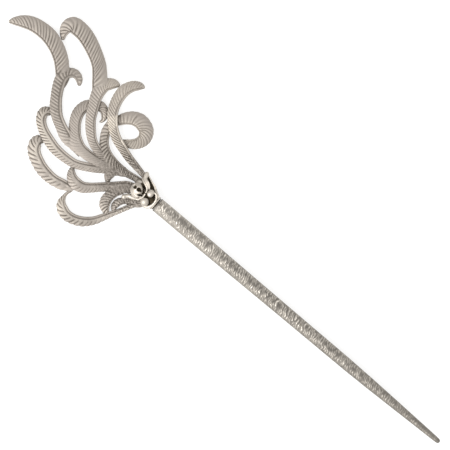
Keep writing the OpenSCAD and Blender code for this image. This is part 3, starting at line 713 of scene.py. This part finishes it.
def strand(rows):
    """A round strand of changing thickness through the rows of a table, rounded off at both ends."""
    rows = np.array(rows)
    at = smooth(rows, np.linspace(0, len(rows) - 1, STRAND_STEPS * (len(rows) - 1) + 1))
    ahead = np.gradient(at[:, :3], axis=0)
    ahead /= np.linalg.norm(ahead, axis=1, keepdims=True)
    side = np.cross(ahead, [0, 0, 1])
    side /= np.linalg.norm(side, axis=1, keepdims=True)
    up = np.cross(side, ahead)
    caps = np.radians(STRAND_CAPS)
    r0 = at[0, 3]
    r1 = at[-1, 3]
    middles = np.concatenate([at[0, :3] - r0 * np.outer(np.sin(caps), ahead[0]), at[:, :3],
                              at[-1, :3] + r1 * np.outer(np.sin(caps[::-1]), ahead[-1])])
    radii = np.concatenate([r0 * np.cos(caps), at[:, 3], r1 * np.cos(caps[::-1])])[:, None, None]
    side, up = (np.concatenate([np.repeat(way[:1], len(caps), 0), way, np.repeat(way[-1:], len(caps), 0)])
                for way in (side, up))
    around = np.linspace(0, 2 * math.pi, STRAND_SIDES, endpoint=False)[None, :, None]
    ring = middles[:, None] + radii * (np.cos(around) * side[:, None] + np.sin(around) * up[:, None])
    return rolled_shell("strand", row_metres(ring))


def pillar(x, y, r, z0, z1, sides):
    """An upright round pillar at a place of the upright drawing, from one height to another."""
    bpy.ops.mesh.primitive_cylinder_add(
        vertices=sides, radius=r * MM, depth=(z1 - z0) * MM, location=row_metres([x, y, (z0 + z1) / 2]))
    return bpy.context.object


def ball(x, y, z, r):
    """A ball at a place and height of the upright drawing."""
    bpy.ops.mesh.primitive_uv_sphere_add(
        segments=40, ring_count=24, radius=r * MM, location=row_metres([x, y, z]))
    return bpy.context.object


def refine(body, rounds):
    """Melts overlapping shapes into one skin and lets it settle in so many rounds."""
    bpy.context.view_layer.objects.active = body
    melt = body.modifiers.new("melt", "REMESH")
    melt.mode = "VOXEL"
    melt.voxel_size = MELT_CELL * MM
    bpy.ops.object.modifier_apply(modifier=melt.name)
    settle = body.modifiers.new("settle", "SMOOTH")
    settle.factor = 0.5
    settle.iterations = rounds
    bpy.ops.object.modifier_apply(modifier=settle.name)


def polished_knot():
    """The boss, petals, scroll, leaf and beads, melted into one body, then collared and bored."""
    # the boss: a drum under a low cone, worn round, with its hollows cut
    crown_z = BOSS_TOP - BOSS_CROWN
    drum = pillar(*BOSS, BOSS_R, KNOT_BASE_Z, crown_z, LARGE_SIDES)
    bpy.ops.mesh.primitive_cone_add(
        vertices=LARGE_SIDES, radius1=BOSS_R * MM, radius2=BOSS_FLAT * MM, depth=BOSS_CROWN * MM,
        location=row_metres([*BOSS, crown_z + BOSS_CROWN / 2]))
    crown = bpy.context.object
    boss = join("boss", [join("drum", [drum]), join("crown", [crown])])
    refine(boss, rounds=40)
    for floor_z, places in HOLLOWS:
        cutters = [pillar(x, y, r, floor_z, BOSS_TOP + 1, SMALL_SIDES) for x, y, r in places]
        combine(boss, hull("hollow", cutters), "DIFFERENCE")
    mound = hull("mound", [pillar(x, y, r, KNOT_BASE_Z, top, SMALL_SIDES) for x, y, r, top in MOUND])
    saddle = rod(-SEAT_GAP - SADDLE_L, -SEAT_GAP - COLLAR_W / 2, SADDLE_R)
    strands = [strand(rows) for rows in STRANDS] + [join("bead", [ball(*bead)]) for bead in BEADS]
    body = join("polished_knot", [boss, mound, saddle] + [join("strand", [part]) for part in strands])
    refine(body, rounds=2)
    collar = rod(-SEAT_GAP - COLLAR_W, -SEAT_GAP - NECK_W, SHAFT_R, COLLAR_SIDES)
    lips = collar.modifiers.new("lips", "BEVEL")
    lips.width = COLLAR_ROUND * MM
    lips.segments = 4
    lips.limit_method = "ANGLE"
    bpy.ops.object.modifier_apply(modifier=lips.name)
    combine(body, collar, "UNION")
    neck = rod(-SEAT_GAP - COLLAR_W / 2, -SEAT_GAP, SHAFT_R - NECK_T, COLLAR_SIDES)
    combine(body, neck, "UNION")
    # the bore ends just past the socket, so the boss is closed behind it
    bore = rod(-2 * SEAT_GAP - SOCKET_L, KNOT_CUT_TO, SOCKET_R + SEAT_GAP, LARGE_SIDES)
    combine(body, bore, "DIFFERENCE")
    bpy.ops.mesh.primitive_cube_add(
        size=1, location=(0, 0, (KNOT_BASE_Z - BLOCK_H / 2) * MM),
        scale=(BLOCK_W * MM, BLOCK_W * MM, BLOCK_H * MM))
    combine(body, join("below", [bpy.context.object]), "DIFFERENCE")
    clean(body)
    # the neck and the collar's face beyond dark_x are painted as hollow: blackening in the groove, and
    # painted shade against the shaft
    mark_hollows(
        body, reach=1.3, depth=1.0, rise=4.0, walls=-0.5, rounds=3, dark_x=-SEAT_GAP - NECK_W - NECK_WALL)
    return body


# The finishes

def linear(code):
    """An sRGB hex colour as linear values."""
    values = [int(code[i:i + 2], 16) / 255 for i in (1, 3, 5)]
    return (*[v / 12.92 if v <= 0.04045 else ((v + 0.055) / 1.055) ** 2.4 for v in values], 1)


def add(material, kind, settings=None, links=None):
    """Adds a node, sets its sockets and properties, and links its inputs to other nodes' outputs."""
    node = material.node_tree.nodes.new(kind)
    for name, value in (settings or {}).items():
        if isinstance(name, int) or name in node.inputs:
            node.inputs[name].default_value = value
        else:
            setattr(node, name, value)
    for name, (source, output) in (links or {}).items():
        material.node_tree.links.new(source.outputs[output], node.inputs[name])
    return node


def silver(name, furrow, middle, crest, roughness, tarnish, wear, grain_mm, grain_height_mm, patches):
    """Matte or polished silver in three tones. Tarnish starts and is full at two levels of the hollow
    attribute, and crests start to be worn pale and are fully so at two others. Patches are rows like those
    of PATCHES."""
    material = bpy.data.materials.new(name)
    material.use_nodes = True
    material.node_tree.nodes.clear()
    place = add(material, "ShaderNodeTexCoord")
    hollow = add(material, "ShaderNodeAttribute", {"attribute_name": "hollow"})
    cloud = add(material, "ShaderNodeTexNoise",
                {"Scale": 1 / (CLOUD * MM), "Detail": 3},
                {"Vector": (place, "Object")})
    grain = add(material, "ShaderNodeTexNoise",
                {"Scale": 1 / (grain_mm * MM), "Detail": 4, "Roughness": 0.6},
                {"Vector": (place, "Object")})
    # the cloud shifts the tarnish line a little from place to place
    shift = add(material, "ShaderNodeMath",
                {"operation": "MULTIPLY_ADD", 1: 2 * CLOUD_SHIFT, 2: -CLOUD_SHIFT},
                {0: (cloud, "Fac")})
    level = add(material, "ShaderNodeMath",
                {"operation": "ADD", "use_clamp": True},
                {0: (hollow, "Fac"), 1: (shift, "Value")})
    low = add(material, "ShaderNodeMapRange",
              {"From Min": tarnish[0], "From Max": tarnish[1], "interpolation_type": "SMOOTHSTEP"},
              {"Value": (level, "Value")})
    high = add(material, "ShaderNodeMapRange",
               {"From Min": wear[0], "From Max": wear[1], "interpolation_type": "SMOOTHSTEP"},
               {"Value": (level, "Value")})
    bright = add(material, "ShaderNodeMix",
                 {"data_type": "RGBA", 6: linear(middle), 7: linear(crest)},
                 {0: (high, "Result")})
    colour = add(material, "ShaderNodeMix",
                 {"data_type": "RGBA", 7: linear(furrow)},
                 {0: (low, "Result"), 6: (bright, 2)})
    # a patch is stronger on the flecks of the casting skin than between them
    fleck = add(material, "ShaderNodeTexNoise",
                {"Scale": 1 / (FLECK * MM), "Detail": 2},
                {"Vector": (place, "Object")})
    broken = add(material, "ShaderNodeMapRange",
                 {"From Min": 0.35, "From Max": 0.65, "To Min": FLECK_SHARE[0], "To Max": FLECK_SHARE[1]},
                 {"Value": (fleck, "Fac")})
    for x, y, start, full, most, tone in patches:
        away = add(material, "ShaderNodeVectorMath",
                   {"operation": "DISTANCE", 1: tuple(row_metres([x, y, 0]))},
                   {0: (place, "Object")})
        near = add(material, "ShaderNodeMapRange",
                   {"From Min": start * MM, "From Max": full * MM, "To Max": most,
                    "interpolation_type": "SMOOTHSTEP"},
                   {"Value": (away, "Value")})
        share = add(material, "ShaderNodeMath",
                    {"operation": "MULTIPLY", "use_clamp": True},
                    {0: (near, "Result"), 1: (broken, "Result")})
        colour = add(material, "ShaderNodeMix",
                     {"data_type": "RGBA", 7: linear(tone)},
                     {0: (share, "Value"), 6: (colour, 2)})
    gloss = add(material, "ShaderNodeMapRange",
                {"From Min": 0.2, "From Max": 0.8,
                 "To Min": roughness - RUBBED, "To Max": roughness + UNRUBBED},
                {"Value": (level, "Value")})
    relief = add(material, "ShaderNodeBump",
                 {"Strength": 0.6, "Distance": grain_height_mm * MM},
                 {"Height": (grain, "Fac")})
    skin = add(material, "ShaderNodeBsdfPrincipled",
               {"Metallic": 1.0},
               {"Base Color": (colour, 2), "Roughness": (gloss, "Result"), "Normal": (relief, "Normal")})
    add(material, "ShaderNodeOutputMaterial", None, {"Surface": (skin, "BSDF")})
    return material


# Silver cast in fine sand and tumbled, never polished. The eye gets a soft, warm grey with no clear
# reflections, darker in the furrows, where the casting skin stays, and paler on the barbs' crests, which
# hair and hands rub. The sand's grain, about 0.15 mm, is too fine to show, so it is drawn 0.35 mm wide.
cast = silver(
    "cast_silver_matte", furrow="#847d75", middle="#b0a8a0", crest="#c8c0b5", roughness=0.66,
    tarnish=(0.55, 0.85), wear=(0.45, 0.2), grain_mm=0.35, grain_height_mm=0.02, patches=PATCHES)

# Silver rod forged with a cross-peen hammer and left unpolished. The eye gets a skin like bark, of short
# pale crests across the shaft with duller grey furrows between them. The crests themselves are in the mesh.
# The hammer face's own marks are too fine to show, so they are drawn as a grain 0.3 mm wide.
# The level that the shaft writes also paints shade and highlight on it: its sides are painted a duller grey
# where the round shaft turns away, and its pale crests show only down the middle of the front.
hammered = silver(
    "hammered_silver", furrow="#77726c", middle="#b0aaa1", crest="#f4ece1", roughness=0.5,
    tarnish=(0.5, 1.0), wear=(0.4, 0.0), grain_mm=0.3, grain_height_mm=0.01, patches=[])

# Cast silver blackened with sulphide, then polished on its high places, and since worn softer by handling.
# The eye gets broad pale highlights on the strands and beads, with dark brown in the hollows between them.
# The polishing marks are too fine to show, so they are drawn as a faint unevenness 0.5 mm wide.
polished = silver(
    "polished_blackened_silver", furrow="#463e31", middle="#c2bbb1", crest="#f3e9db", roughness=0.53,
    tarnish=(0.67, 0.95), wear=(0.47, 0.12), grain_mm=0.5, grain_height_mm=0.003, patches=[])

# The pieces, dressed and put in place of their nodes
dress(feather_spray(), "plume_spray", cast, sharp=50)
dress(hammered_shaft(), "stick", hammered, sharp=60)
dress(polished_knot(), "scroll_knot", polished, sharp=60)

# The floor that the piece lies on: a sheet of opal acrylic, cast with a matt face and lit softly from below,
# as on a light table. The eye gets an even white with no mirror image, and only faint shadows. The matting
# of its face is too fine to show, so it is drawn as an unevenness 1.5 mm wide.
FLOOR_W = 4
FLOOR_X = 0.03
opal = bpy.data.materials.new("opal_acrylic")
opal.use_nodes = True
opal.node_tree.nodes.clear()
floor_place = add(opal, "ShaderNodeTexCoord")
floor_grain = add(opal, "ShaderNodeTexNoise",
                  {"Scale": 1 / (1.5 * MM), "Detail": 3},
                  {"Vector": (floor_place, "Object")})
floor_relief = add(opal, "ShaderNodeBump",
                   {"Strength": 0.05, "Distance": 0.02 * MM},
                   {"Height": (floor_grain, "Fac")})
floor_face = add(opal, "ShaderNodeBsdfPrincipled",
                 {"Base Color": linear("#b0b0af"), "Roughness": 0.9, "Specular IOR Level": 0.1,
                  "Emission Color": linear("#ffffff"), "Emission Strength": 0.7},
                 {"Normal": (floor_relief, "Normal")})
add(opal, "ShaderNodeOutputMaterial", None, {"Surface": (floor_face, "BSDF")})
bpy.ops.mesh.primitive_plane_add(size=FLOOR_W, location=(FLOOR_X, 0, BACK_Z * MM))
floor = join("floor", [bpy.context.object])
floor.data.materials.append(opal)

# The camera looks straight down, turned so that the shaft points down to the right, from as far as a long
# lens needs to take in the view's width
VIEW_TURN = math.radians(40.1)
VIEW_CENTRE = Vector((21.66, 9.34, 0)) * MM
VIEW_WIDTH = 150 * MM
SENSOR_W = 36
LENS = 200
camera_data = bpy.data.cameras.new("camera")
camera_data.sensor_width = SENSOR_W
camera_data.lens = LENS
camera_data.clip_start = 0.01
camera_data.clip_end = 10
camera = bpy.data.objects.new("camera", camera_data)
bpy.context.scene.collection.objects.link(camera)
camera.location = VIEW_CENTRE + Vector((0, 0, VIEW_WIDTH / 2 / (SENSOR_W / 2 / LENS)))
camera.rotation_euler = (0, 0, VIEW_TURN)
bpy.context.scene.camera = camera


def softbox(name, direction, distance, size, power):
    """A square studio light that looks at the piece from a direction of the picture: right, up, towards the
    camera."""
    data = bpy.data.lights.new(name, "AREA")
    data.size = size
    data.energy = power
    lamp = bpy.data.objects.new(name, data)
    bpy.context.scene.collection.objects.link(lamp)
    towards = Matrix.Rotation(VIEW_TURN, 3, "Z") @ Vector(direction).normalized()
    lamp.location = VIEW_CENTRE + towards * distance
    lamp.rotation_mode = "QUATERNION"
    lamp.rotation_quaternion = towards.to_track_quat("Z", "Y")


softbox("key", direction=(-0.7, -0.45, 0.8), distance=0.6, size=0.45, power=3.0)
softbox("fill", direction=(0.9, 0.5, 0.8), distance=0.7, size=0.5, power=0.4)

# A white room lights everything evenly
world = bpy.data.worlds.new("studio")
world.use_nodes = True
room = world.node_tree.nodes["Background"]
room.inputs["Color"].default_value = linear("#ffffff")
room.inputs["Strength"].default_value = 0.8
bpy.context.scene.world = world
bpy.context.scene.view_settings.view_transform = "Standard"
